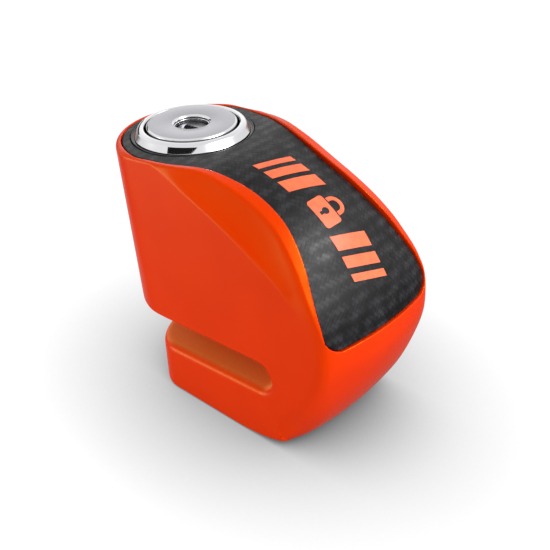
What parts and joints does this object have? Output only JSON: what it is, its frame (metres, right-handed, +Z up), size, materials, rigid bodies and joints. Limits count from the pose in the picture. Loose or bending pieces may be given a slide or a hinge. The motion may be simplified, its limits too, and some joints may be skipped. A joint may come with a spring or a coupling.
{
  "type": "motorcycle disc brake lock",
  "caption": "Compact push-down disc brake lock: painted die-cast C-shaped body with a slot for the brake disc, and a keyed plunger in a domed ring whose pin closes the slot.",
  "frame": {"origin": "where the axis of the locking pin meets the flat base the lock stands on", "axes": "+X from the open jaw towards the nose, +Y across the lock's width, +Z up; the lock axis leans back 3.7 degrees from +Z in the XZ plane"},
  "size_m": [0.0731, 0.0366, 0.06],
  "materials": {
    "body_casting": "gloss fluorescent orange paint on a zinc die casting",
    "label_panel": "black sheet with a carbon weave look under a satin lacquer",
    "panel_adhesive": "dark grey adhesive foam",
    "bezel_ring": "polished chrome plate",
    "bezel_gasket": "black nitrile rubber",
    "wiper_seal": "black nitrile rubber",
    "liner_sleeve": "hardened steel, ground",
    "pin_guide_bush": "hardened steel, ground",
    "spring_washer": "pressed steel",
    "return_spring": "drawn spring steel",
    "plunger_barrel": "satin nickel plate",
    "plunger_cap": "satin chrome face with a bright chamfer",
    "locking_pin": "hardened steel, ground",
    "pin_circlip": "pressed spring steel",
    "rotor_cage": "turned brass",
    "latch_cam": "hardened steel",
    "drill_guard": "hardened steel",
    "sidebar": "hardened steel",
    "detainer_disc_1": "stamped brass",
    "detainer_disc_2": "stamped brass",
    "detainer_disc_3": "stamped brass",
    "detainer_disc_4": "stamped brass",
    "detainer_disc_5": "stamped brass",
    "detainer_disc_6": "stamped brass",
    "disc_spacer_1": "stamped steel",
    "disc_spacer_2": "stamped steel",
    "disc_spacer_3": "stamped steel",
    "disc_spacer_4": "stamped steel",
    "disc_spacer_5": "stamped steel",
    "latch_ball_left": "ground bearing steel",
    "latch_ball_right": "ground bearing steel"
  },
  "bodies": {
    "lock_body": {"body_casting": "body_casting", "label_panel": "label_panel", "panel_adhesive": "panel_adhesive", "bezel_ring": "bezel_ring", "bezel_gasket": "bezel_gasket", "wiper_seal": "wiper_seal", "liner_sleeve": "liner_sleeve", "pin_guide_bush": "pin_guide_bush", "spring_washer": "spring_washer", "return_spring": "return_spring"},
    "plunger": {"plunger_barrel": "plunger_barrel", "plunger_cap": "plunger_cap", "locking_pin": "locking_pin", "pin_circlip": "pin_circlip"},
    "key_rotor": {"rotor_cage": "rotor_cage", "latch_cam": "latch_cam", "drill_guard": "drill_guard", "disc_spacer_1": "disc_spacer_1", "disc_spacer_2": "disc_spacer_2", "disc_spacer_3": "disc_spacer_3", "disc_spacer_4": "disc_spacer_4", "disc_spacer_5": "disc_spacer_5"},
    "sidebar": {"sidebar": "sidebar"},
    "latch_ball_left": {"latch_ball_left": "latch_ball_left"},
    "latch_ball_right": {"latch_ball_right": "latch_ball_right"},
    "disc_1": {"detainer_disc_1": "detainer_disc_1"},
    "disc_2": {"detainer_disc_2": "detainer_disc_2"},
    "disc_3": {"detainer_disc_3": "detainer_disc_3"},
    "disc_4": {"detainer_disc_4": "detainer_disc_4"},
    "disc_5": {"detainer_disc_5": "detainer_disc_5"},
    "disc_6": {"detainer_disc_6": "detainer_disc_6"}
  },
  "joints": [
    {"name": "plunger_slide", "type": "slide", "parent": "lock_body", "child": "plunger", "axis": [-0.0645, 0, 0.9979], "range_m": [0, 0.0125], "deforming": ["return_spring"]},
    {"name": "key_turn", "type": "hinge", "parent": "plunger", "child": "key_rotor", "pos_m": [0, 0, 0], "axis": [-0.0645, 0, 0.9979], "range_deg": [-90, 0]},
    {"name": "latch_left_slide", "type": "slide", "parent": "plunger", "child": "latch_ball_left", "axis": [0, -1, 0], "range_m": [-0.0016, 0]},
    {"name": "latch_right_slide", "type": "slide", "parent": "plunger", "child": "latch_ball_right", "axis": [0, 1, 0], "range_m": [-0.0016, 0]},
    {"name": "sidebar_slide", "type": "slide", "parent": "key_rotor", "child": "sidebar", "axis": [0.9979, 0, 0.0645], "range_m": [0, 0.0008]},
    {"name": "disc_1_turn", "type": "hinge", "parent": "key_rotor", "child": "disc_1", "pos_m": [0, 0, 0], "axis": [-0.0645, 0, 0.9979], "range_deg": [-18, 0]},
    {"name": "disc_2_turn", "type": "hinge", "parent": "key_rotor", "child": "disc_2", "pos_m": [0, 0, 0], "axis": [-0.0645, 0, 0.9979], "range_deg": [-54, 0]},
    {"name": "disc_3_turn", "type": "hinge", "parent": "key_rotor", "child": "disc_3", "pos_m": [0, 0, 0], "axis": [-0.0645, 0, 0.9979], "range_deg": [-90, 0]},
    {"name": "disc_4_turn", "type": "hinge", "parent": "key_rotor", "child": "disc_4", "pos_m": [0, 0, 0], "axis": [-0.0645, 0, 0.9979], "range_deg": [-36, 0]},
    {"name": "disc_5_turn", "type": "hinge", "parent": "key_rotor", "child": "disc_5", "pos_m": [0, 0, 0], "axis": [-0.0645, 0, 0.9979], "range_deg": [-72, 0]},
    {"name": "disc_6_turn", "type": "hinge", "parent": "key_rotor", "child": "disc_6", "pos_m": [0, 0, 0], "axis": [-0.0645, 0, 0.9979], "range_deg": [-18, 0]}
  ],
  "couplings": [
    {"joint": "latch_left_slide", "follows": "key_turn", "m_per_rad": 0.0010184},
    {"joint": "latch_right_slide", "follows": "key_turn", "m_per_rad": 0.0010184}
  ]
}
